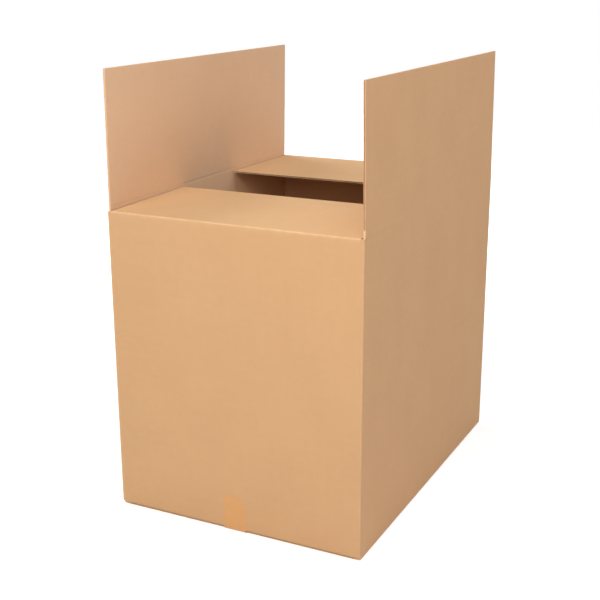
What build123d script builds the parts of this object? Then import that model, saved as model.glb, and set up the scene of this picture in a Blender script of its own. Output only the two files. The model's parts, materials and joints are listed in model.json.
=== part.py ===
from build123d import *
from math import atan2, radians, sin, tan
import os

# Open regular slotted box in single-wall corrugated board.
# The four walls, the glue tab and the four bottom flaps are one folded sheet, closed below by tape.
# The four top flaps hinge on their creases: the short pair lies folded in, the long pair stands up.
# Frame: X across the box, Y from front to back, Z up, origin under the middle of the bottom.

# Inside of the closed box, in millimetres
inside_width = 550.0
inside_depth = 762.0
inside_height = 635.0

# Board: two liners with a fluted medium between them, which touches each liner along flat crests
liner_thickness = 0.3
flute_height = 3.6
flute_pitch = 7.9
flute_crest = 2.0
medium_thickness = 0.3
flute_cut_depth = 14.0
flute_edge_margin = 3.0

# Flaps: the long pair would meet along the middle of the box with this gap
seam_gap = 12.4
pass_clearance = 0.4
side_clearance = 0.3
slot_relief = 0.5

# Folds and creases
fold_radius = 3.0
layer_gap = 0.3
hinge_gap = 0.3
mitre_gap = 0.3

# Rest pose: angle in degrees by which each flap is folded in from upright, where 90 is closed
closed_angle = 90.0
front_flap_angle = 89.5
back_flap_angle = 89.7
long_flap_angle = 0.75

# Glue tab of the maker's joint, crushed flat against the inside of the front wall
tab_width = 35.0
tab_thickness = 2.4
tab_end_inset = 12.0
tab_end_slant = 10.0

# Tape along the bottom seam and up the two short walls
tape_width = 50.0
tape_thickness = 0.1
tape_rise = 78.0
tape_corner_radius = 4.0

# Outside of the walls and reach of the flaps
board = flute_height + 2 * liner_thickness
width = inside_width + 2 * board
depth = inside_depth + 2 * board
flap_length = (width - seam_gap) / 2

# The short flaps pass between the long ones, which lean in a little
lean_reach = flap_length * sin(radians(long_flap_angle))
short_inset = board + lean_reach + pass_clearance
long_inset = board + side_clearance
short_span = width - 2 * short_inset
long_span = depth - 2 * long_inset

# Levels: the tape lies lowest, then the long bottom flaps, then the short ones
outer_bottom = tape_thickness
inner_bottom = outer_bottom + board + layer_gap
wall_start = inner_bottom + fold_radius
inside_floor = inner_bottom + board

# Hinge lines stand just outside the walls, the long pair high enough to close over the short one
hinge_out = hinge_gap / 2
mitre_drop = mitre_gap + hinge_out
spring_rise = flap_length * sin(radians(closed_angle - min(front_flap_angle, back_flap_angle)))
short_crease = inside_floor + inside_height + board + hinge_out
long_crease = short_crease + spring_rise + board + layer_gap
corner_top = short_crease - mitre_drop - slot_relief


def at_wall(turn, half_span):
    """Place of one wall: local X runs along it, local Y points into the box, Z is up."""
    return Rot(0, 0, turn) * Pos(0, -half_span, 0)


def prism(section, span):
    """Section drawn as (inward, up), drawn out along the wall to both sides of its middle."""
    return extrude(Plane.YZ * section, amount=span / 2, both=True)


front_wall = at_wall(0, depth / 2)
right_wall = at_wall(90, width / 2)
back_wall = at_wall(180, depth / 2)
left_wall = at_wall(270, width / 2)


# What a rounded outer fold lacks of its square corner, which lies at the origin
def fold_waste():
    corner = Rectangle(fold_radius, fold_radius, align=(Align.MIN, Align.MIN))
    return corner - Pos(fold_radius, fold_radius) * Circle(fold_radius)


# Walls: rounded folds at three corners, a raw square edge and a tucked fold at the glued one
def wall_ring():
    ring = RectangleRounded(width, depth, fold_radius) - Rectangle(inside_width, inside_depth)
    corner = Pos(-width / 2, -depth / 2)
    ring += corner * Rectangle(fold_radius, board, align=(Align.MIN, Align.MIN))
    ring -= corner * Pos(0, board) * fold_waste()
    return Pos(0, 0, wall_start) * extrude(ring, amount=corner_top - wall_start)


# Glue tab: carried round from the left wall, with slanted ends
def glue_tab():
    low = wall_start + tab_end_inset
    high = corner_top - tab_end_inset
    outline = Polygon(
        (0, low),
        (tab_width, low + tab_end_slant),
        (tab_width, high - tab_end_slant),
        (0, high),
        align=None,
    )
    plate = extrude(Plane.XZ * outline, amount=-tab_thickness)
    return Pos(-inside_width / 2, -inside_depth / 2, 0) * plate


# Bottom flap with its fold, as one bent section with a rounded outer corner
def bottom_flap(level, span):
    low = (Align.MIN, Align.MIN)
    upright = Pos(0, level) * Rectangle(board, wall_start + fold_radius - level, align=low)
    lying = Pos(0, level) * Rectangle(flap_length, board, align=low)
    bent = upright + lying
    outer_corner = bent.vertices().sort_by_distance((0, level, 0))[0]
    return prism(fillet(outer_corner, fold_radius), span)


# Cut at the top of a short wall, a little wider than the flap: a slope that falls inward below
# the crease, with the wall's half of the rounded fold outside it
def short_wall_cut():
    top = short_crease - mitre_drop
    slope = Polygon(
        (-board, top + board),
        (2 * board, top - 2 * board),
        (2 * board, top + board),
        align=None,
    )
    rounding = Pos(0, short_crease - hinge_out) * mirror(fold_waste(), about=Plane.XZ)
    return prism(slope + rounding, short_span + 2 * side_clearance)


# Top of a long wall: it stands above the short walls and ends in the same slope
def long_wall_top():
    top = long_crease - mitre_drop
    strip = Polygon(
        (0, corner_top - board),
        (board, corner_top - board),
        (board, top - board),
        (0, top),
        align=None,
    )
    return prism(strip, long_span)


def box_body():
    body = wall_ring() + glue_tab()
    for wall in (left_wall, right_wall):
        body += wall * long_wall_top()
        body += wall * bottom_flap(outer_bottom, long_span)
    for wall in (front_wall, back_wall):
        body += wall * bottom_flap(inner_bottom, short_span)
        body -= wall * short_wall_cut()
    return body


# Flutes: the medium runs from one liner to the other and back, and leaves a void on either side.
# Each void is cut open at the flap's free edge: wide at the liner that bounds it, narrow at the crest.
void_height = flute_height - medium_thickness
flute_slope = atan2(void_height, flute_pitch / 2 - flute_crest)
corner_lap = medium_thickness / 2 * tan(flute_slope / 2)
void_half_base = (flute_pitch - flute_crest) / 2 - corner_lap
void_half_top = flute_crest / 2 - corner_lap


def flute_void(base, top):
    outline = Polygon(
        (-void_half_base, base),
        (void_half_base, base),
        (void_half_top, top),
        (-void_half_top, top),
        align=None,
    )
    return extrude(Pos(0, 0, flap_length) * outline, amount=-flute_cut_depth)


def flute_voids(span):
    count = int((span - 2 * flute_edge_margin) / flute_pitch)
    outer_liner = hinge_out + liner_thickness
    inner_liner = outer_liner + flute_height
    outer_void = flute_void(outer_liner, outer_liner + void_height)
    inner_void = flute_void(inner_liner, inner_liner - void_height)
    first = -(count - 1) / 2 * flute_pitch
    outer_row = [Pos(first + i * flute_pitch, 0, 0) * outer_void for i in range(count)]
    inner_row = [Pos(first + (i + 0.5) * flute_pitch, 0, 0) * inner_void for i in range(count - 1)]
    return outer_row + inner_row


# Section of a top flap, upright with its hinge line at the origin and its root cut to the crease's slope
def flap_section():
    outer = hinge_out
    inner = hinge_out + board
    return Polygon(
        (outer, mitre_gap + outer),
        (inner, mitre_gap + inner),
        (inner, flap_length),
        (outer, flap_length),
        align=None,
    )


def top_flap(wall, section, span, crease, angle):
    flap = prism(section, span) - flute_voids(span)
    return wall * Pos(0, -hinge_out, crease) * Rot(-angle, 0, 0) * flap


# Short flap: its root carries the other half of the rounded fold
def short_flap(wall, angle):
    section = flap_section() - Pos(hinge_out, hinge_out) * fold_waste()
    return top_flap(wall, section, short_span, short_crease, angle)


def long_flap(wall, angle):
    return top_flap(wall, flap_section(), long_span, long_crease, angle)


# Tape: a strip along the bottom seam, turned up the front and back walls
def bottom_tape():
    base = (Align.CENTER, Align.MIN)
    outside = Rectangle(depth + 2 * tape_thickness, tape_rise, align=base)
    inside = Pos(0, tape_thickness) * Rectangle(depth, tape_rise, align=base)
    outside_corners = outside.vertices().group_by(Axis.Y)[0]
    inside_corners = inside.vertices().group_by(Axis.Y)[0]
    outside = fillet(outside_corners, tape_corner_radius + tape_thickness)
    inside = fillet(inside_corners, tape_corner_radius)
    return prism(outside - inside, tape_width)


nodes = {
    "box_body": box_body(),
    "front_flap": short_flap(front_wall, front_flap_angle),
    "back_flap": short_flap(back_wall, back_flap_angle),
    "left_flap": long_flap(left_wall, long_flap_angle),
    "right_flap": long_flap(right_wall, long_flap_angle),
    "bottom_tape": bottom_tape(),
}

os.makedirs("parts", exist_ok=True)
for name, node in nodes.items():
    export_step(node, f"parts/{name}.step")

print("outside", width, depth, "flap length", flap_length)
print("creases", short_crease, long_crease, "flap insets", short_inset, long_inset)
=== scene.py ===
# %% [markdown]
# # An open cardboard box
#
# The object is a plain slotted carton: one sheet of single-wall corrugated board, folded round,
# glued at one corner and taped along the bottom. Its two short top flaps are folded in and its
# two long ones stand up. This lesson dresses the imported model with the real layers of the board:
# liners, fluted medium, scored creases and tape.

import json
import math

import bmesh
import bpy
from mathutils import Matrix, Vector, noise
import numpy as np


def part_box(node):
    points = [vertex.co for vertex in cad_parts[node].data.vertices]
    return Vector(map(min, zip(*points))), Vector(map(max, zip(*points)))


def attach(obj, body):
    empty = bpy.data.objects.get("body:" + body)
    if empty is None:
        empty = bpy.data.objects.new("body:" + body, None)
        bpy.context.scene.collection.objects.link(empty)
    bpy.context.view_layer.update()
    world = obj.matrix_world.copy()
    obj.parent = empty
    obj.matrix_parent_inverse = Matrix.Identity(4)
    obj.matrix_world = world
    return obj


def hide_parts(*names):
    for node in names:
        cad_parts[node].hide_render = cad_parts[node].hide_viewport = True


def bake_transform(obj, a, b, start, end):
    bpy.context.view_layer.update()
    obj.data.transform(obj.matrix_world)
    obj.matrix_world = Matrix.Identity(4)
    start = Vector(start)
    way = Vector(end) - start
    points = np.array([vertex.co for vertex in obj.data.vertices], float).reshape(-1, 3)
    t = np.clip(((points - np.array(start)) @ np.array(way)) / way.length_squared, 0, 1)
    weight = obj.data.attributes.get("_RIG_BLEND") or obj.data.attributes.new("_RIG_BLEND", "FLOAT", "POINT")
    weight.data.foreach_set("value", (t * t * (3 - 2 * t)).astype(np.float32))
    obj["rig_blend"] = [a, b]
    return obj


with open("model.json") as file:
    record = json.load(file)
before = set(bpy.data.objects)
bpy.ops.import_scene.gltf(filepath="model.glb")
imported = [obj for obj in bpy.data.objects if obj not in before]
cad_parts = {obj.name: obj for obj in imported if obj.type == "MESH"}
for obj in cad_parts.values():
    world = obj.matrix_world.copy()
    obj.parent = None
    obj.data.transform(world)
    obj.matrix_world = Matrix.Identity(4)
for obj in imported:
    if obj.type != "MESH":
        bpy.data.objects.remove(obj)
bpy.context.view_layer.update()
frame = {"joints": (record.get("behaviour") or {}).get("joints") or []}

# %% [markdown]
# ## Sizes
#
# The shared frame is in metres, so a millimetre gets a name of its own. Everything that the
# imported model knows, such as the hinge lines and the outside of the box, is read from it. Only
# the make-up of the board is written here, as a board maker would state it. Points closer
# together than a hair count as one place.

# %% Sizes of the board and of the box
mm = 0.001
hair = 0.01 * mm
board = 4.2 * mm
liner = 0.35 * mm
medium_paper = 0.28 * mm
flute_pitch = 7.9 * mm
fold_radius = 3.0 * mm
layer_gap = 0.3 * mm
corner_drop = 0.95 * mm

joints = {joint["name"]: joint for joint in frame["joints"]}
half_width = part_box("box_body")[1].x
half_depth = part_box("box_body")[1].y
half_short_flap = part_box("front_flap")[1].x
half_long_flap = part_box("left_flap")[1].y
box_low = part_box("box_body")[0].z
short_crease = joints["front_flap_crease"]["pos_m"][2]
long_crease = joints["left_flap_crease"]["pos_m"][2]
hinge_out = joints["right_flap_crease"]["pos_m"][0] - half_width

inner_bottom = box_low + board + layer_gap
wall_start = inner_bottom + fold_radius
corner_top = short_crease - corner_drop
print("outside", half_width * 2, half_depth * 2, "creases", short_crease, long_crease)

# %% [markdown]
# ## Where each wall stands
#
# All four walls are drawn the same way: along the wall, inward through the board, and up. A
# matrix then turns that drawing to its side of the box. A flap has one more step, because it is
# drawn upright from its hinge line and then folded in by the angle that its joint starts from.


# %% Places of walls and flaps
def wall_place(turn, half_span):
    return Matrix.Rotation(math.radians(turn), 4, "Z") @ Matrix.Translation((0, -half_span, 0))


def hinge_place(turn, half_span, crease):
    return wall_place(turn, half_span) @ Matrix.Translation((0, -hinge_out, crease))


def flap_place(turn, half_span, crease, angle):
    return hinge_place(turn, half_span, crease) @ Matrix.Rotation(-angle, 4, "X")


def rest_angle(joint):
    """Angle by which a flap is folded in at rest: its joint's low end is the closed flap."""
    return math.radians(90 + joints[joint]["range_deg"][0])


# Each wall: turn in degrees, distance from the middle, height of its crease, half a flap's span
walls = {
    "front": (0, half_depth, short_crease, half_short_flap),
    "right": (90, half_width, long_crease, half_long_flap),
    "back": (180, half_depth, short_crease, half_short_flap),
    "left": (270, half_width, long_crease, half_long_flap),
}
lean = rest_angle("left_flap_crease")
flap_reach = (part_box("left_flap")[1].z - long_crease) / math.cos(lean)
print("flap reach", round(flap_reach, 4), "lean", round(math.degrees(lean), 2))

# %% [markdown]
# ## A slab of board
#
# Bent board is a section drawn through its thickness and run along the wall. Each row of the
# section pairs a point on the outer face with one on the inner face, so a rounded fold, a scored
# groove or a mitred end is only another row. The faces also carry board coordinates in metres:
# across the flutes and along them. The paper's grain and the flutes' faint streaks follow those
# coordinates round every fold. Large panels of board are never quite flat, so a slab can also be
# given a bow: a rule that says how far each point is pushed inward.

# %% A new piece, and what its faces are made of
outer_finish, cut_finish, inner_finish = 0, 1, 2
inner_face_shift = 3.1


def new_piece():
    piece = bmesh.new()
    piece.loops.layers.uv.new("board")
    # Per-point float layer: rubbed wear on the folds, and on the short creases' ridges also a painted
    # highlight
    piece.verts.layers.float.new("wear_and_highlight")
    return piece


def spread(low, high, count):
    return [low + (high - low) * i / (count - 1) for i in range(count)]


print("finishes: outer", outer_finish, "cut", cut_finish, "inner", inner_finish)


# %% Drawing a slab into a piece
def flat(along, up):
    return 0.0


def add_slab(piece, place, stations, section, bow=flat):
    """Runs the section through the stations along the wall.

    A row of the section is (outer point, inner point, distance along the board, wear and painted highlight).
    """
    uv = piece.loops.layers.uv["board"]
    wear_and_highlight = piece.verts.layers.float["wear_and_highlight"]
    grid = []
    for along in stations:
        column = []
        for outer, inner, reach, worn_and_lit in section:
            pair = []
            for (inward, up), rub in ((outer, worn_and_lit), (inner, 0.0)):
                vertex = piece.verts.new(place @ Vector((along, inward + bow(along, up), up)))
                vertex[wear_and_highlight] = rub
                pair.append(vertex)
            column.append(pair)
        grid.append(column)
    across = [along + place.translation.x + place.translation.y for along in stations]
    reaches = [row[2] for row in section]

    def face(corners, finish, shift=0.0):
        made = piece.faces.new([grid[i][j][side] for i, j, side in corners])
        made.material_index = finish
        for loop, (i, j, side) in zip(made.loops, corners):
            loop[uv].uv = (across[i] + shift + side * board, reaches[j])

    end, top = len(stations) - 1, len(section) - 1
    for i in range(end):
        n = i + 1
        for j in range(top):
            k = j + 1
            face([(i, j, 0), (n, j, 0), (n, k, 0), (i, k, 0)], outer_finish)
            face([(i, j, 1), (i, k, 1), (n, k, 1), (n, j, 1)], inner_finish, inner_face_shift)
        face([(i, 0, 0), (i, 0, 1), (n, 0, 1), (n, 0, 0)], cut_finish)
        face([(i, top, 0), (n, top, 0), (n, top, 1), (i, top, 1)], cut_finish)
    for j in range(top):
        k = j + 1
        face([(0, j, 0), (0, k, 0), (0, k, 1), (0, j, 1)], cut_finish)
        face([(end, j, 0), (end, j, 1), (end, k, 1), (end, k, 0)], cut_finish)


# %% [markdown]
# ## Finishing a piece
#
# Every piece ends in the same way: its faces are turned to point outwards, it becomes an object
# at the origin, and only edges sharper than a paper fold stay sharp.

# %% From drawing to object
smooth_below = math.radians(35)


def finish_piece(piece, name, materials):
    bmesh.ops.recalc_face_normals(piece, faces=piece.faces)
    mesh = bpy.data.meshes.new(name)
    piece.to_mesh(mesh)
    piece.free()
    mesh.shade_smooth()
    mesh.set_sharp_from_angle(angle=smooth_below)
    for material in materials:
        mesh.materials.append(material)
    made = bpy.data.objects.new(name, mesh)
    bpy.context.scene.collection.objects.link(made)
    print(name, "faces", len(mesh.polygons))
    return made


# %% [markdown]
# ## Building materials from nodes
#
# A small helper adds a node, sets its plain values and joins whatever sockets it is given. A few
# more name the nodes that come back again and again, so the trees below read like sentences.


# %% Helpers for node trees
def add_node(tree, kind, values=None, **settings):
    node = tree.nodes.new(kind)
    for key, value in settings.items():
        setattr(node, key, value)
    for socket, value in (values or {}).items():
        if isinstance(value, bpy.types.NodeSocket):
            tree.links.new(value, node.inputs[socket])
        else:
            node.inputs[socket].default_value = value
    return node


def maths(tree, operation, first, second=0.0, third=0.0):
    values = {0: first, 1: second, 2: third}
    return add_node(tree, "ShaderNodeMath", values, operation=operation).outputs[0]


def combine(tree, x, y, z):
    return add_node(tree, "ShaderNodeCombineXYZ", {0: x, 1: y, 2: z}).outputs[0]


def noise_field(tree, place, scale, detail):
    values = {"Vector": place, "Scale": scale, "Detail": detail}
    return add_node(tree, "ShaderNodeTexNoise", values).outputs[0]


def ramp(tree, value, low, high, at_low, at_high):
    values = {0: value, 1: low, 2: high, 3: at_low, 4: at_high}
    return add_node(tree, "ShaderNodeMapRange", values).outputs[0]


def mix_colours(tree, share, first, second):
    values = {0: share, 6: first, 7: second}
    return add_node(tree, "ShaderNodeMix", values, data_type="RGBA").outputs[2]


def new_material(name, roughness, specular):
    material = bpy.data.materials.new(name)
    material.use_nodes = True
    shader = material.node_tree.nodes["Principled BSDF"]
    shader.inputs["Roughness"].default_value = roughness
    shader.inputs["Specular IOR Level"].default_value = specular
    print("material", name, "roughness", roughness)
    return material, material.node_tree, shader


def roughen(tree, shader, height, strength, distance):
    values = {"Height": height, "Strength": strength, "Distance": distance}
    bump = add_node(tree, "ShaderNodeBump", values)
    tree.links.new(bump.outputs[0], shader.inputs["Normal"])


# %% [markdown]
# ## Kraft paper
#
# Kraft liner is matt brown paper. Long fibres lie mostly across the flutes, dark flecks are
# scattered through it, the tone drifts a little over a hand's width, and the flutes underneath
# show as the faintest streaks. The machine's rollers leave a pair of pale lines down the right
# wall. All of it is worked out from noise on the board coordinates, stretched one way or the
# other, so that it follows the folds.

# %% Grain and tone of kraft paper
# Each grain: scale across the flutes, scale along them, detail, and its own layer of the noise
grain_scales = {
    "cloud": (9.0, 7.0, 4.0, 0.0),
    "patch": (55.0, 70.0, 3.0, 4.0),
    "fibre": (420.0, 2600.0, 2.0, 8.0),
    "cross_fibre": (2200.0, 520.0, 2.0, 12.0),
    "streak": (240.0, 3.0, 2.0, 16.0),
    "band": (2.0, 70.0, 2.0, 30.0),
    "fleck": (900.0, 1500.0, 1.0, 20.0),
}
tone_shares = {
    "cloud": 0.9, "patch": 0.5, "fibre": 1.1, "cross_fibre": 0.8, "streak": 0.2, "band": 0.2,
}
roller_place = 109 * mm
roller_gap = 14 * mm
roller_width = 4 * mm
roller_tone = 0.14


def grain(tree, across, along, kind):
    scale_across, scale_along, detail, layer = grain_scales[kind]
    x = maths(tree, "MULTIPLY", across, scale_across)
    y = maths(tree, "MULTIPLY", along, scale_along)
    return noise_field(tree, combine(tree, x, y, layer), 1.0, detail)


def paper_tone(tree, across, grains, flute, flute_tone):
    """How light the paper is, where 0 is its dark colour and 1 its light one."""
    tone = 0.0
    for kind, share in tone_shares.items():
        drift = maths(tree, "SUBTRACT", grains[kind], 0.5)
        tone = maths(tree, "ADD", tone, maths(tree, "MULTIPLY", drift, share))
    from_middle = maths(tree, "ABSOLUTE", maths(tree, "SUBTRACT", across, roller_place))
    from_line = maths(tree, "ABSOLUTE", maths(tree, "SUBTRACT", from_middle, roller_gap / 2))
    roller_line = ramp(tree, from_line, 0.0, roller_width, roller_tone, 0.0)
    tone = maths(tree, "ADD", tone, roller_line)
    tone = maths(tree, "MULTIPLY_ADD", flute, flute_tone * 0.5, tone)
    return maths(tree, "ADD", tone, 0.5)


print("grains of the paper:", ", ".join(grain_scales))

# %% [markdown]
# ## The papers of the board
#
# The outer liner is the brownest. The inner one is paler, partly as its own paper and partly as
# painted light that lifts the shade inside the box. The fluted medium is palest where it is cut.
# Flecks darken the paper, and folds are rubbed paler in patches; on the ridges of the short creases
# that paler colour is also a painted highlight. The same grains raise the surface a little, which
# keeps its sheen soft.

# %% Kraft paper in three tones
fleck_from, fleck_full = 0.7, 0.78
fleck_shade = 0.55
fleck_strength = 0.4
pale_patch_from, pale_patch_full, pale_patch_least = 0.3, 0.65, 0.35
fibre_relief, flute_relief, patch_relief = 0.05, 0.01, 0.12


def kraft(name, light, dark, worn_and_lit, flute_tone):
    material, tree, shader = new_material(name, roughness=0.82, specular=0.25)
    place = add_node(tree, "ShaderNodeUVMap", uv_map="board").outputs[0]
    split = add_node(tree, "ShaderNodeSeparateXYZ", {0: place}).outputs
    across, along = split[0], split[1]
    grains = {kind: grain(tree, across, along, kind) for kind in grain_scales}
    flute = maths(tree, "SINE", maths(tree, "MULTIPLY", across, 2 * math.pi / flute_pitch))

    tone = paper_tone(tree, across, grains, flute, flute_tone)
    paper = mix_colours(tree, tone, (*dark, 1), (*light, 1))
    flecked = ramp(tree, grains["fleck"], fleck_from, fleck_full, 0.0, fleck_strength)
    fleck_colour = tuple(fleck_shade * channel for channel in dark)
    paper = mix_colours(tree, flecked, paper, (*fleck_colour, 1))
    # Folds are mixed towards the paler colour in patches: rubbed wear, and on the short creases' ridges also
    # a painted highlight
    wear_and_highlight = add_node(tree, "ShaderNodeAttribute", attribute_name="wear_and_highlight").outputs["Fac"]
    patches = ramp(tree, grains["patch"], pale_patch_from, pale_patch_full, pale_patch_least, 1.0)
    paper = mix_colours(tree, maths(tree, "MULTIPLY", wear_and_highlight, patches), paper, (*worn_and_lit, 1))
    tree.links.new(paper, shader.inputs["Base Color"])

    fibre_height = maths(tree, "MULTIPLY", grains["fibre"], fibre_relief)
    relief = maths(tree, "ADD", fibre_height, maths(tree, "MULTIPLY", flute, flute_relief))
    relief = maths(tree, "MULTIPLY_ADD", grains["patch"], patch_relief, relief)
    roughen(tree, shader, relief, strength=0.5, distance=1.0 * mm)
    return material


kraft_outside = kraft(
    "kraft_outside", light=(0.644, 0.387, 0.195), dark=(0.58, 0.342, 0.17),
    worn_and_lit=(0.76, 0.50, 0.27), flute_tone=0.03,
)
# The inner liner's paler tone is partly its own paper and partly painted light that lifts the shade inside
# the box
kraft_inside_painted_lighter = kraft(
    "kraft_inside_painted_lighter", light=(0.74, 0.485, 0.295), dark=(0.67, 0.435, 0.26),
    worn_and_lit=(0.78, 0.52, 0.30), flute_tone=0.06,
)
kraft_medium = kraft(
    "kraft_medium", light=(0.80, 0.54, 0.33), dark=(0.70, 0.46, 0.27),
    worn_and_lit=(0.80, 0.54, 0.33), flute_tone=0.0,
)

# %% [markdown]
# ## Packing tape
#
# The tape is a thin brown film with a soft gloss. Its tone drifts in soft clouds, and tiny
# wrinkles and bubbles break up its highlight.

# %% Tape film
tape_dark = (0.62, 0.31, 0.11, 1)
tape_light = (0.69, 0.35, 0.12, 1)
cloud_scale = 60.0
ripple_scale = 260.0


def tape_film():
    material, tree, shader = new_material("tape_film", roughness=0.28, specular=0.5)
    place = add_node(tree, "ShaderNodeUVMap", uv_map="board").outputs[0]
    cloud = noise_field(tree, place, cloud_scale, 4.0)
    colour = mix_colours(tree, cloud, tape_dark, tape_light)
    tree.links.new(colour, shader.inputs["Base Color"])
    ripple = noise_field(tree, place, ripple_scale, 3.0)
    roughen(tree, shader, ripple, strength=0.25, distance=0.4 * mm)
    return material


tape_brown = tape_film()
board_finishes = [kraft_outside, kraft_medium, kraft_inside_painted_lighter]
print("finishes of the board:", [finish.name for finish in board_finishes])

# %% [markdown]
# ## The fluted medium
#
# Between the liners runs a sheet of paper pressed into waves. It is the part of the board that
# repeats, so Geometry Nodes make it: a grid five points deep is wrapped into a thin tube, and
# each column of points is lifted along the wave. Its inputs are the sizes a corrugator would
# quote. The pitch wanders a little, and the wave is squared off so that its crests lie flat
# against the liners.

# %% The wave and the thickness of the sheet
phase_wander = 1.2
wander_scale = 90.0


def medium_wave(tree, given, flutes, share, x, inside):
    """Height of the sheet's middle, and half its thickness measured straight up."""
    spot = combine(tree, x, 0.0, given["Seed"])
    wander = maths(tree, "SUBTRACT", noise_field(tree, spot, wander_scale, 1.0), 0.5)
    turns = maths(tree, "MULTIPLY", maths(tree, "MULTIPLY", share, flutes), 2 * math.pi)
    wander = maths(tree, "MULTIPLY", wander, inside)
    phase = maths(tree, "MULTIPLY_ADD", wander, phase_wander, turns)
    phase = maths(tree, "SUBTRACT", phase, math.pi / 2)
    wave = maths(tree, "SINE", phase)
    squared = maths(tree, "MULTIPLY", wave, wave)
    crest = maths(tree, "MULTIPLY", wave, maths(tree, "MULTIPLY_ADD", squared, -0.5, 1.5))
    room = maths(tree, "SUBTRACT", given["Height"], given["Paper"])
    lift = maths(tree, "MULTIPLY", room, 0.5)
    middle = maths(tree, "MULTIPLY", crest, lift)

    # The steeper the sheet, the thicker it is measured straight up
    flatness = maths(tree, "SUBTRACT", 1.0, squared)
    rate = maths(tree, "MULTIPLY", flatness, maths(tree, "COSINE", phase))
    pace = maths(tree, "DIVIDE", maths(tree, "MULTIPLY", flutes, 3 * math.pi), given["Span"])
    slope = maths(tree, "MULTIPLY", maths(tree, "MULTIPLY", rate, pace), lift)
    stretch = maths(tree, "SQRT", maths(tree, "MULTIPLY_ADD", slope, slope, 1.0))
    half_paper = maths(tree, "MULTIPLY", given["Paper"], 0.5)
    half = maths(tree, "MULTIPLY", maths(tree, "MULTIPLY", half_paper, stretch), inside)
    return middle, half


print("the wave wanders by up to", phase_wander / 2, "radians")

# %% [markdown]
# ## The sheet as a tree of nodes
#
# The five points of a column go once round the sheet: near edge above, far edge above, far edge
# below, near edge below, and back to the start. The first and last columns have no thickness,
# which closes the sheet once points at the same place are merged.

# %% The tree for the fluted medium
rows_round_sheet = 5
last_share = 0.4999


def medium_sockets(tree):
    sockets = tree.interface
    sockets.new_socket("Geometry", in_out="INPUT", socket_type="NodeSocketGeometry")
    for label in ("Span", "Run", "Pitch", "Height", "Paper"):
        sockets.new_socket(label, in_out="INPUT", socket_type="NodeSocketFloat")
    for label in ("Steps", "Seed"):
        sockets.new_socket(label, in_out="INPUT", socket_type="NodeSocketInt")
    sockets.new_socket("Material", in_out="INPUT", socket_type="NodeSocketMaterial")
    sockets.new_socket("Geometry", in_out="OUTPUT", socket_type="NodeSocketGeometry")


def near_value(tree, value, middle, reach):
    """1 where the value is closer to the middle than the reach, and 0 elsewhere."""
    distance = maths(tree, "ABSOLUTE", maths(tree, "SUBTRACT", value, middle))
    return maths(tree, "LESS_THAN", distance, reach)


def fluted_medium_tree():
    tree = bpy.data.node_groups.new("fluted_medium", "GeometryNodeTree")
    medium_sockets(tree)
    given = tree.nodes.new("NodeGroupInput").outputs
    flutes = maths(tree, "ROUND", maths(tree, "DIVIDE", given["Span"], given["Pitch"]))
    steps = maths(tree, "MULTIPLY", flutes, given["Steps"])
    columns = maths(tree, "ADD", steps, 1.0)
    rows = rows_round_sheet
    size = {"Size X": 1.0, "Size Y": 1.0, "Vertices X": columns, "Vertices Y": rows}
    grid = add_node(tree, "GeometryNodeMeshGrid", size).outputs["Mesh"]

    index = tree.nodes.new("GeometryNodeInputIndex").outputs[0]
    row = maths(tree, "MODULO", index, rows)
    column = maths(tree, "DIVIDE", maths(tree, "ADD", index, 0.5), rows)
    share = maths(tree, "DIVIDE", maths(tree, "FLOOR", column), steps)
    far = near_value(tree, row, 1.5, 1.0)
    under = near_value(tree, row, 2.5, 1.0)
    side = maths(tree, "MULTIPLY_ADD", under, -2.0, 1.0)
    inside = near_value(tree, share, 0.5, last_share)

    x = maths(tree, "MULTIPLY", maths(tree, "SUBTRACT", share, 0.5), given["Span"])
    y = maths(tree, "MULTIPLY", maths(tree, "MULTIPLY", given["Run"], far), -1.0)
    middle, half = medium_wave(tree, given, flutes, share, x, inside)
    z = maths(tree, "ADD", middle, maths(tree, "MULTIPLY", half, side))

    sheet = grid
    for kind, values in (
        ("GeometryNodeSetPosition", {"Position": combine(tree, x, y, z)}),
        ("GeometryNodeMergeByDistance", {"Distance": hair}),
        ("GeometryNodeRealizeInstances", {}),
        ("GeometryNodeSetMaterial", {"Material": given["Material"]}),
    ):
        sheet = add_node(tree, kind, {"Geometry": sheet, **values}).outputs[0]
    tree.links.new(sheet, tree.nodes.new("NodeGroupOutput").inputs[0])
    return tree


fluted_medium = fluted_medium_tree()
print("nodes in the tree for the medium:", len(fluted_medium.nodes))

# %% [markdown]
# ## One stretch of medium
#
# The tree runs as a modifier on an empty holder, with each input set by its socket's identifier.
# Its result is copied as a plain mesh, and the holder is thrown away.

# %% Making one stretch of medium a plain mesh
steps_per_wave = 10


def make_medium(span, run, seed):
    holder_mesh = bpy.data.meshes.new("medium_holder")
    holder = bpy.data.objects.new("medium_holder", holder_mesh)
    bpy.context.scene.collection.objects.link(holder)
    modifier = holder.modifiers.new("flutes", "NODES")
    modifier.node_group = fluted_medium
    sizes = {
        "Span": span, "Run": run, "Pitch": flute_pitch, "Height": board - 2 * liner,
        "Paper": medium_paper, "Steps": steps_per_wave, "Seed": seed, "Material": kraft_medium,
    }
    for item in fluted_medium.interface.items_tree:
        if item.item_type == "SOCKET" and item.in_out == "INPUT" and item.name in sizes:
            modifier[item.identifier] = sizes[item.name]
    graph = bpy.context.evaluated_depsgraph_get()
    made = bpy.data.meshes.new_from_object(holder.evaluated_get(graph))
    bpy.data.objects.remove(holder)
    bpy.data.meshes.remove(holder_mesh)
    print("medium", round(span, 4), "long, points", len(made.vertices))
    return made


# %% [markdown]
# ## A panel of real board
#
# Where a flap's edge is cut open, the board is shown as it is: an outer liner, the fluted medium
# and an inner liner. The die that cut it also pressed each liner in where no flute held it up, so
# the edges are scalloped at the pitch of the flutes, and they are slightly ragged. At the sides
# of a flap the first half flute of the medium closes the board.

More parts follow.
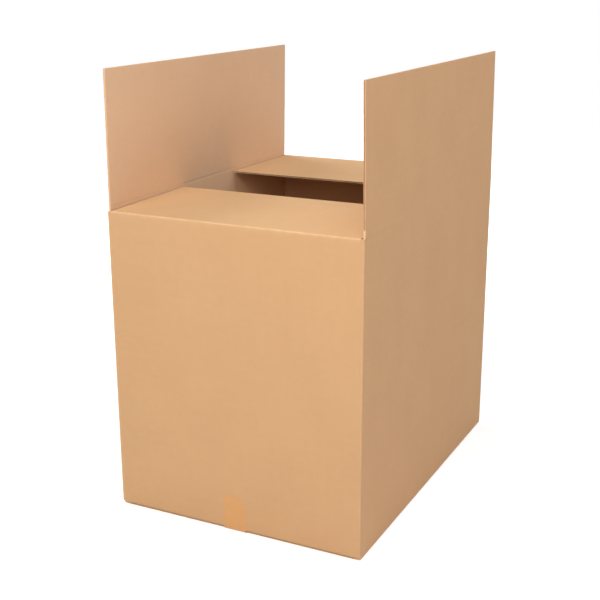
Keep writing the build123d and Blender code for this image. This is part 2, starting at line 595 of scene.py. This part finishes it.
# %% Liners pressed in, and their ragged edge
press_depth = 0.6 * mm
press_reach = 4 * mm
ragged = 0.08 * mm
ragged_scale_along = 160
ragged_scale_through = 400


def flute_count(half_span):
    return round(2 * half_span / flute_pitch)


def pressed(half_span, high, contact, depth):
    """Inward shift of a liner: none on the flutes' crests, most between them at the cut."""
    flutes = flute_count(half_span)

    def shift(along, up):
        near_cut = max(0.0, 1 - (high - up) / press_reach) ** 2
        turns = (along / (2 * half_span) + 0.5) * flutes + contact
        return depth * near_cut * (0.5 - 0.5 * math.cos(2 * math.pi * turns))

    return shift


def ragged_edge(piece, place, high, seed):
    """Moves the points on the free edge in by a little."""
    back = place.inverted()
    for vertex in piece.verts:
        local = back @ vertex.co
        if abs(local.z - high) < hair:
            spot = (local.x * ragged_scale_along, seed, local.y * ragged_scale_through)
            local.z -= ragged * (1 + noise.noise(Vector(spot)))
            vertex.co = place @ local


print("flutes in a short flap", flute_count(half_short_flap))
print("flutes in a long flap", flute_count(half_long_flap))

# %% [markdown]
# ## Liners and medium together
#
# The tree draws the medium lying flat. It is upended here, so that its waves run through the
# board's thickness and its open ends look out at the free edge, a touch behind the liners.

# %% Panel with liners and medium
medium_recess = 0.02 * mm
steps_per_flute = 8
row_shares = (1, 0.5, 0.25, 0)
upended = Matrix(((1, 0, 0, 0), (0, 0, 1, 0), (0, 1, 0, 0), (0, 0, 0, 1)))


def add_medium(piece, place, half_span, low, high, seed, reach_start):
    top = high - medium_recess
    mesh = make_medium(2 * half_span, high - low - medium_recess, seed)
    mesh.transform(place @ Matrix.Translation((0, hinge_out + board / 2, top)) @ upended)
    first_face = len(piece.faces)
    piece.from_mesh(mesh)
    piece.faces.ensure_lookup_table()
    uv = piece.loops.layers.uv["board"]
    back = place.inverted()
    shift = place.translation.x + place.translation.y
    for face in piece.faces[first_face:]:
        face.material_index = cut_finish
        for loop in face.loops:
            local = back @ loop.vert.co
            loop[uv].uv = (local.x + shift, reach_start + local.z)
    bpy.data.meshes.remove(mesh)


def add_open_board(piece, place, half_span, low, high, seed, reach_start, press=0.0):
    steps = flute_count(half_span) * (steps_per_flute if press else 1)
    stations = spread(-half_span, half_span, steps + 1)
    rows = [low, (low + high) / 2] + [high - press_reach * share for share in row_shares]
    outside, inside = hinge_out, hinge_out + board
    for near, far, contact, depth in (
        (outside, outside + liner, 0.0, press),
        (inside - liner, inside, 0.5, -press),
    ):
        section = [((near, r), (far, r), reach_start + r, 0.0) for r in rows]
        add_slab(piece, place, stations, section, pressed(half_span, high, contact, depth))
    ragged_edge(piece, place, high, seed)
    add_medium(piece, place, half_span, low, high, seed, reach_start)


# %% [markdown]
# ## Short top flaps
#
# A short flap lies folded in, so its crease is a rounded corner that it shares with the wall:
# each of them has half of the round and a slope that meets the other's. The flap stays one rigid
# piece on its own body, and the slopes let it swing right round to hang outside the box.

# %% Half of a rounded fold
mitre = 0.07 * mm
mitre_step = 0.5 * mm
round_steps = 7
round_end = math.radians(44.6)
# Paler colour on a short crease's round: rubbed wear, plus a painted highlight towards the ridge, where the
# round turns to the light
crease_wear, ridge_wear_and_highlight = 0.25, 0.9


def round_half(centre_w, centre_v, up):
    """Points on half of a rounded fold, from the outer face to just short of the mitre."""
    points = []
    for angle in spread(0, round_end, round_steps):
        w = centre_w - fold_radius * math.cos(angle)
        v = centre_v + up * fold_radius * math.sin(angle)
        points.append((w, v, angle))
    return points


# Wear over the round of a short crease, plus a painted highlight that grows towards the ridge
def fold_wear_and_highlight(bend):
    return crease_wear + ridge_wear_and_highlight * math.sin(bend)


print("wear at the ridge of a short crease", round(fold_wear_and_highlight(round_end), 2))

# %% [markdown]
# ## The flap on its body
#
# Every flap ends in the same calls: it rides on its own body, takes the place of the packed
# flap, and gets the board's three materials.

# %% Short flaps
root_end = 12 * mm
root_outer = 7 * mm
root_inner = 9 * mm
root_stations = 61


def finish_flap(piece, side):
    made = finish_piece(piece, side + "_flap_board", board_finishes)
    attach(made, side + "_flap")
    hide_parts(side + "_flap")


def short_flap(side, seed):
    turn, half_span, crease, half_flap = walls[side]
    place = flap_place(turn, half_span, crease, rest_angle(side + "_flap_crease"))
    piece = new_piece()
    centre = hinge_out + fold_radius
    inside = hinge_out + board
    section = []
    for position, (w, r, bend) in enumerate(reversed(round_half(centre, centre, -1))):
        inner = (inside, inside + mitre + position * mitre_step)
        section.append(((w, r), inner, crease + r, fold_wear_and_highlight(bend)))
    for outer_r, inner_r in ((root_outer, root_inner), (root_end, root_end)):
        section.append(((hinge_out, outer_r), (inside, inner_r), crease + outer_r, 0.0))
    add_slab(piece, place, spread(-half_flap, half_flap, root_stations), section)
    add_open_board(piece, place, half_flap, root_end, flap_reach, seed, crease, press_depth)
    finish_flap(piece, side)


short_flap("front", 11)
short_flap("back", 12)

# %% [markdown]
# ## Long top flaps and their creases
#
# A long flap stands almost in line with its wall, so there the board itself has to bend. The
# crease is a strip of board across the joint: its lower edge follows the wall, its upper edge
# follows the flap, and a shallow crushed groove on the inside is the score that it folds along.

# %% Long flaps
crease_half = 8 * mm


def long_flap(side, seed):
    turn, half_span, crease, half_flap = walls[side]
    place = flap_place(turn, half_span, crease, lean)
    piece = new_piece()
    add_open_board(piece, place, half_flap, crease_half, flap_reach, seed, crease, press_depth)
    finish_flap(piece, side)


long_flap("left", 13)
long_flap("right", 14)

# %% [markdown]
# ## Creases that bend
#
# The strip's rows turn smoothly from the wall's direction to the flap's. A blend between the two
# bodies then spreads the bend over the strip through the whole swing of the flap, so that
# nothing tears.

# %% Crease strips of the long flaps
score_depth = 0.3 * mm
score_half = 2.2 * mm
score_wear = 0.06
face_dip = 0.06 * mm
strip_rows = 25
strip_stations = 97


def smooth_step(t):
    return t * t * (3 - 2 * t)


def long_crease_strip(side):
    turn, half_span, crease, half_flap = walls[side]
    place = hinge_place(turn, half_span, crease)
    piece = new_piece()
    section = []
    for height in spread(-crease_half, crease_half, strip_rows):
        bend = Matrix.Rotation(-lean * smooth_step((height + crease_half) / (2 * crease_half)), 2)
        groove = math.exp(-((height / score_half) ** 2))
        outer = bend @ Vector((hinge_out + face_dip * groove, height))
        inner = bend @ Vector((hinge_out + board - score_depth * groove, height))
        section.append((tuple(outer), tuple(inner), crease + height, score_wear * groove))
    add_slab(piece, place, spread(-half_flap, half_flap, strip_stations), section)
    made = finish_piece(piece, side + "_crease", board_finishes)
    low = place @ Vector((0, hinge_out, -crease_half))
    high = place @ Vector((0, hinge_out, crease_half))
    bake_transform(made, "box", side + "_flap", start=tuple(low), end=tuple(high))
    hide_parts(side + "_flap")


long_crease_strip("left")
long_crease_strip("right")

# %% [markdown]
# ## Walls
#
# The four walls are slabs between rounded corner folds. Board dries and bows a little, so each
# wall is hollow by a millimetre or two in the middle. The short walls end in their half of the
# rounded crease, and the long ones where the crease strip takes over.

# %% Sections and bow of the walls
plain_end = 6 * mm
short_wall_rows, long_wall_rows = 17, 19
short_bow_depth, long_bow_depth = 0.8 * mm, 1.8 * mm


def short_wall_section(crease):
    centre_v = crease - hinge_out - fold_radius
    top_inner = crease - hinge_out - board - mitre
    plain = spread(wall_start, centre_v - plain_end, short_wall_rows)
    section = [((0, v), (board, v), v, 0.0) for v in plain]
    for position, (w, v, bend) in enumerate(round_half(fold_radius, centre_v, 1)):
        inner_v = top_inner - (round_steps - 1 - position) * mitre_step
        section.append(((w, v), (board, inner_v), v, fold_wear_and_highlight(bend)))
    return section


def long_wall_section(crease):
    top = crease - crease_half
    return [((0, v), (board, v), v, 0.0) for v in spread(wall_start, top, long_wall_rows)]


def wall_bow(depth, half_span, top):
    """Most in the middle of the wall, and nothing at its folds and corners."""

    def bow(along, up):
        share = min(max((up - wall_start) / (top - wall_start), 0.0), 1.0)
        return depth * math.sin(math.pi * share) ** 2 * math.cos(math.pi / 2 * along / half_span)

    return bow


short_bow = wall_bow(short_bow_depth, half_width, short_crease - board)
long_bow = wall_bow(long_bow_depth, half_depth, long_crease - crease_half)
print("bow half way up:", short_bow(0, corner_top / 2), long_bow(0, corner_top / 2))

# %% [markdown]
# ## Four walls in one piece
#
# At the front left corner the front wall ends in its own cut edge, because that is where the
# sheet was glued into a tube. The left wall stops short there to leave room for its tucked fold.

# %% Walls
mitre_side_room = 0.3 * mm
tuck_room = 0.1 * mm
tuck_end = board + fold_radius + tuck_room
short_wall_stations, long_wall_stations = 25, 31
box = new_piece()
for side in ("front", "back"):
    turn, half_span, crease, half_flap = walls[side]
    reach = half_flap + mitre_side_room
    stations = spread(-reach, reach, short_wall_stations)
    add_slab(box, wall_place(turn, half_span), stations, short_wall_section(crease), short_bow)
for side, far_end in (("left", half_depth - tuck_end), ("right", half_long_flap)):
    turn, half_span, crease, half_flap = walls[side]
    stations = spread(-half_flap, far_end, long_wall_stations)
    add_slab(box, wall_place(turn, half_span), stations, long_wall_section(crease), long_bow)
print("faces of the four walls", len(box.faces))

# %% [markdown]
# ## Corner folds
#
# Each corner is an outline in plan, raised to just under the short creases. Three have a rounded
# fold. The glued one has the front wall's raw edge and, behind it, the left wall's tucked fold.

# %% Corner posts
post_rings = 12
fold_points, tuck_points = 9, 7
fold_rub, raw_edge_rub, tuck_rub = 0.2, 0.25, 0.1


def add_post(piece, outline, low, high, worn_and_lit):
    """A closed outline in plan, raised to the height of the corners."""
    uv = piece.loops.layers.uv["board"]
    wear_and_highlight = piece.verts.layers.float["wear_and_highlight"]
    rings = []
    for z in spread(low, high, post_rings):
        ring = []
        for (x, y), rub in zip(outline, worn_and_lit):
            vertex = piece.verts.new((x, y, z))
            vertex[wear_and_highlight] = rub
            ring.append(vertex)
        rings.append(ring)
    faces = [piece.faces.new(rings[0]), piece.faces.new(list(reversed(rings[-1])))]
    count = len(outline)
    for lower, upper in zip(rings, rings[1:]):
        for i in range(count):
            j = (i + 1) % count
            faces.append(piece.faces.new((lower[i], lower[j], upper[j], upper[i])))
    for face in faces:
        for loop in face.loops:
            loop[uv].uv = (loop.vert.co.x + loop.vert.co.y, loop.vert.co.z)


def plan_arc(start, points):
    """A quarter of a fold in plan, starting this far back from the box's outer corner."""
    return [
        (fold_radius * (1 - math.sin(angle)), start + fold_radius * (1 - math.cos(angle)))
        for angle in spread(0, math.pi / 2, points)
    ]


def bend_rub(angle):
    """Wear of a quarter fold: most half way round it."""
    return fold_rub * math.sin(2 * angle)


def corner_outline(glued, span_x, span_y):
    """Plan of one corner in the front left quarter, measured from the box's outer corner."""
    if glued:
        arc = [(0.0, 0.0), (0.0, board)] + plan_arc(board, tuck_points)
        rub = [raw_edge_rub] * 2 + [tuck_rub] * tuck_points
        span_y = tuck_end
    else:
        arc = plan_arc(0.0, fold_points)
        rub = [bend_rub(angle) for angle in spread(0, math.pi / 2, fold_points)]
    ends = [(0.0, span_y), (board, span_y), (board, board), (span_x, board)]
    return [(span_x, 0.0)] + arc + ends, [0.0] + rub + [0.0] * len(ends)


span_x = half_width - (half_short_flap + mitre_side_room)
span_y = half_depth - half_long_flap
for sign_x, sign_y in ((-1, -1), (1, -1), (1, 1), (-1, 1)):
    outline, rub = corner_outline((sign_x, sign_y) == (-1, -1), span_x, span_y)
    placed = [(sign_x * (half_width - x), sign_y * (half_depth - y)) for x, y in outline]
    add_post(box, placed, wall_start, corner_top, rub)
print("faces with the corners", len(box.faces))

# %% [markdown]
# ## Bottom folds and flaps
#
# Below, each wall turns in to a bottom flap: the long pair lies outside the short pair. The fold
# is drawn as bent board, and the rest of the flap as open board, lying flat.

# %% Bottom
arc_step = 0.1 * mm
fold_lead = 0.1 * mm
lead_rub = 0.1
sliver = 0.001 * mm
bottom_stations = 9
first_bottom_seed = 20


def bottom_section(level):
    """From the wall down round the fold to where the open board starts."""
    section = [((0, wall_start), (board, wall_start + sliver), wall_start, 0.0)]
    centre = level + fold_radius
    if wall_start - centre > fold_lead:
        section.append(((0, centre), (board, (centre + wall_start) / 2), centre, lead_rub))
    for angle in spread(0, math.pi / 2, fold_points)[1:]:
        w = fold_radius * (1 - math.cos(angle))
        v = centre - fold_radius * math.sin(angle)
        inner = (board + angle * arc_step, level + board)
        section.append(((w, v), inner, centre - fold_radius * angle, bend_rub(angle)))
    section.append(((root_end, level), (root_end, level + board), centre - 2 * root_end, 0.0))
    return section


levels = {"left": box_low, "right": box_low, "front": inner_bottom, "back": inner_bottom}
for side, level in levels.items():
    turn, half_span, crease, half_flap = walls[side]
    place = wall_place(turn, half_span)
    stations = spread(-half_flap, half_flap, bottom_stations)
    add_slab(box, place, stations, bottom_section(level))
    lying = place @ Matrix.Translation((0, 0, level - hinge_out)) @ upended
    seed = first_bottom_seed + turn
    add_open_board(box, lying, half_flap, root_end, flap_reach, seed, -flap_reach)

walls_piece = finish_piece(box, "walls_and_bottom", board_finishes)
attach(walls_piece, "box")
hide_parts("box_body")

# %% [markdown]
# ## Glue tab
#
# The maker's joint has a tab that continues from the left wall and is glued to the inside of the
# front wall. It is crushed thinner than the board and its ends are cut at a slant.

# %% Glue tab
tab_width = 35 * mm
tab_thickness = 2.4 * mm
tab_inset = 12 * mm
tab_slant = 10 * mm
tab_left = -half_width + board
tab_face = -half_depth + board
tab_low = wall_start + tab_inset
tab_high = corner_top - tab_inset
corners = [
    (tab_left, tab_low),
    (tab_left + tab_width, tab_low + tab_slant),
    (tab_left + tab_width, tab_high - tab_slant),
    (tab_left, tab_high),
]
tab = new_piece()
near = [tab.verts.new((x, tab_face + tab_thickness, z)) for x, z in corners]
far = [tab.verts.new((x, tab_face, z)) for x, z in corners]
tab.faces.new(near)
tab.faces.new(list(reversed(far)))
for i in range(len(corners)):
    j = (i + 1) % len(corners)
    tab.faces.new((near[i], near[j], far[j], far[i]))
tab_uv = tab.loops.layers.uv["board"]
for face in tab.faces:
    for loop in face.loops:
        loop[tab_uv].uv = (loop.vert.co.x + inner_face_shift, loop.vert.co.z)
glue_tab = finish_piece(tab, "glue_tab", [kraft_inside_painted_lighter])
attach(glue_tab, "box")

# %% [markdown]
# ## Tape
#
# The tape closes the bottom seam and runs up the front and back walls. Its path is drawn from
# one end to the other, as a pair of points for the film's two faces.

# %% Path of the tape
tape_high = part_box("bottom_tape")[1]
tape_half = tape_high.x
tape_rise = tape_high.z
tape_thickness = tape_high.y - half_depth
tape_radius = 4 * mm
rise_points, turn_points = 9, 8


def tape_path():
    """Outer and inner points from the front end, under the box, to the back end."""
    outer_y, outer_radius = half_depth + tape_thickness, tape_radius + tape_thickness
    heights = spread(tape_rise, outer_radius, rise_points)
    rows = [((-outer_y, z), (-half_depth, z)) for z in heights]
    centre_y = -half_depth + tape_radius
    for angle in spread(0, math.pi / 2, turn_points)[1:]:
        rows.append(tuple(
            (centre_y - radius * math.cos(angle), outer_radius - radius * math.sin(angle))
            for radius in (outer_radius, tape_radius)
        ))
    mirrored = [((-outer[0], outer[1]), (-inner[0], inner[1])) for outer, inner in reversed(rows)]
    return rows + mirrored


tape_section = []
tape_length = 0.0
previous = (-half_depth - tape_thickness, tape_rise)
for outer, inner in tape_path():
    tape_length += math.dist(previous, outer)
    previous = outer
    tape_section.append((outer, inner, tape_length, 0.0))
print("length of the tape", round(tape_length, 3))

# %% [markdown]
# ## Torn ends
#
# The tape was torn on a toothed blade, so both ends are fine zigzags, and at the front the tear
# ran down across the right corner. The film also follows the hollow of the two walls.

# %% Tape
tape_tooth = 0.8 * mm
torn_corner = 17 * mm
torn_slope = 0.9
torn_from = 0.3
tape_columns = 41
tape = new_piece()
tape_stations = spread(-tape_half, tape_half, tape_columns)
add_slab(tape, Matrix.Identity(4), tape_stations, tape_section)
for vertex in tape.verts:
    if vertex.co.z > tape_rise - hair:
        share_across = (vertex.co.x + tape_half) / (2 * tape_half)
        step = round(share_across * (tape_columns - 1))
        vertex.co.z -= tape_tooth * (step % 2)
    hollow = short_bow(vertex.co.x, vertex.co.z)
    vertex.co.y += hollow if vertex.co.y < 0 else -hollow
    if vertex.co.y < 0:
        share_up = max(0.0, vertex.co.z / tape_rise - torn_from) / (1 - torn_from)
        past_corner = max(0.0, vertex.co.x - tape_half + torn_corner)
        vertex.co.z -= past_corner * torn_slope * share_up
bottom_tape = finish_piece(tape, "bottom_tape_film", [tape_brown])
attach(bottom_tape, "box")
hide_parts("bottom_tape")

# %% [markdown]
# ## Floor and room
#
# The box stands on a matt white floor that looks white to the camera and still keeps a thin
# soft shadow along the foot of the box. The floor glows white only to rays that look at the
# background, so that glow adds nothing to the light on the box.

# %% Floor
white = (1, 1, 1, 1)
floor_half = 6.0
floor_albedo = 0.8
near_radius, far_radius = 0.9, 2.2
near_glow, far_glow = 0.42, 1.0


def background_rays(tree):
    """1 on rays that meet the background straight, in a mirror or through glass."""
    rays = tree.nodes.new("ShaderNodeLightPath").outputs
    shiny = maths(tree, "MAXIMUM", rays["Is Glossy Ray"], rays["Is Transmission Ray"])
    return maths(tree, "MAXIMUM", rays["Is Camera Ray"], shiny)


def white_floor():
    """Matt white with a glow that is weaker near the box, where its shadow falls."""
    material = bpy.data.materials.new("white_floor")
    material.use_nodes = True
    tree = material.node_tree
    tree.nodes.clear()
    albedo = (floor_albedo, floor_albedo, floor_albedo, 1)
    matt = add_node(tree, "ShaderNodeBsdfDiffuse", {"Color": albedo}).outputs[0]
    place = tree.nodes.new("ShaderNodeTexCoord").outputs["Object"]
    away = add_node(tree, "ShaderNodeVectorMath", {0: place}, operation="LENGTH")
    lift = ramp(tree, away.outputs["Value"], near_radius, far_radius, near_glow, far_glow)
    lift = maths(tree, "MULTIPLY", background_rays(tree), lift)
    glow = add_node(tree, "ShaderNodeEmission", {"Color": white, "Strength": lift}).outputs[0]
    both = add_node(tree, "ShaderNodeAddShader", {0: matt, 1: glow}).outputs[0]
    add_node(tree, "ShaderNodeOutputMaterial", {"Surface": both})
    return material


floor_mesh = bpy.data.meshes.new("floor")
signs = ((-1, -1), (1, -1), (1, 1), (-1, 1))
floor_corners = [(x * floor_half, y * floor_half, 0) for x, y in signs]
floor_mesh.from_pydata(floor_corners, [], [(0, 1, 2, 3)])
floor_mesh.materials.append(white_floor())
floor = bpy.data.objects.new("floor", floor_mesh)
bpy.context.scene.collection.objects.link(floor)
print("floor glow", near_glow, "near the box,", far_glow, "far from it")

# %% [markdown]
# ## The room's light
#
# A weak even light fills the shadows, as the walls of a white studio do. Like the floor, the
# room looks fully white only to rays that look at the background.

# %% Room
room_fill = 0.16
world = bpy.data.worlds.new("studio")
bpy.context.scene.world = world
world.use_nodes = True
world_tree = world.node_tree
world_tree.nodes.clear()
fill, backdrop = (
    add_node(world_tree, "ShaderNodeBackground", {"Color": white, "Strength": strength}).outputs[0]
    for strength in (room_fill, 1.0)
)
seen = background_rays(world_tree)
mixed = add_node(world_tree, "ShaderNodeMixShader", {0: seen, 1: fill, 2: backdrop}).outputs[0]
add_node(world_tree, "ShaderNodeOutputWorld", {"Surface": mixed})
print("room fill", room_fill)

# %% [markdown]
# ## Lamps
#
# The key softbox stands in front and to the right, with a brow softbox straight in front and
# above the box, a weaker one at the right, a cool one overhead, and a strong one that lights
# the left and the back. Each is a square area lamp that looks at the middle of the box.

# %% Softboxes
lamp_target = Vector((0, 0, 0.4))


def softbox(name, position, size, power, colour):
    lamp = bpy.data.lights.new(name, "AREA")
    lamp.size = size
    lamp.energy = power
    lamp.color = colour
    holder = bpy.data.objects.new(name, lamp)
    holder.location = position
    aim = lamp_target - Vector(position)
    holder.rotation_euler = aim.to_track_quat("-Z", "Y").to_euler()
    bpy.context.scene.collection.objects.link(holder)
    print(name, power, "W")


softbox("key_softbox", (1.8, -3.1, 2.3), 2.0, 52, (1.0, 0.87, 0.82))
softbox("brow_softbox", (0.0, -2.1, 2.5), 1.4, 48, (1.0, 1.0, 0.98))
softbox("overhead_softbox", (1.3, -0.2, 3.3), 1.6, 28, (0.65, 0.86, 1.0))
softbox("right_softbox", (3.3, 1.4, 2.4), 2.0, 35, (1.0, 0.88, 0.95))
softbox("left_softbox", (-2.6, 1.2, 3.0), 2.0, 81, (0.89, 0.96, 1.0))

# %% [markdown]
# ## Camera
#
# The camera's place, direction and focal length were worked out from the corners of the box in
# the photograph. The focal length is first known in pixels, and the sensor's width turns it into
# millimetres.

# %% Camera
image_width = 600
focal_pixels = 1089.1
sensor_width = 36.0
view_azimuth = math.radians(-26.481)
view_elevation = math.radians(16.881)
view_roll = math.radians(-0.166)
camera_at = Vector((1.0187, -2.1284, 1.1094))

forward = Vector((
    math.sin(view_azimuth) * math.cos(view_elevation),
    math.cos(view_azimuth) * math.cos(view_elevation),
    -math.sin(view_elevation),
))
sideways = Vector((math.cos(view_azimuth), -math.sin(view_azimuth), 0))
upward = sideways.cross(forward)
right = sideways * math.cos(view_roll) + upward * math.sin(view_roll)
above = upward * math.cos(view_roll) - sideways * math.sin(view_roll)
camera_turn = Matrix((right, above, -forward)).transposed().to_4x4()
camera_data = bpy.data.cameras.new("camera")
camera_data.sensor_width = sensor_width
camera_data.lens = focal_pixels * sensor_width / image_width
camera = bpy.data.objects.new("camera", camera_data)
camera.matrix_world = Matrix.Translation(camera_at) @ camera_turn
bpy.context.scene.collection.objects.link(camera)
bpy.context.scene.camera = camera
bpy.context.scene.view_settings.view_transform = "Standard"
print("lens", round(camera_data.lens, 2), "mm")
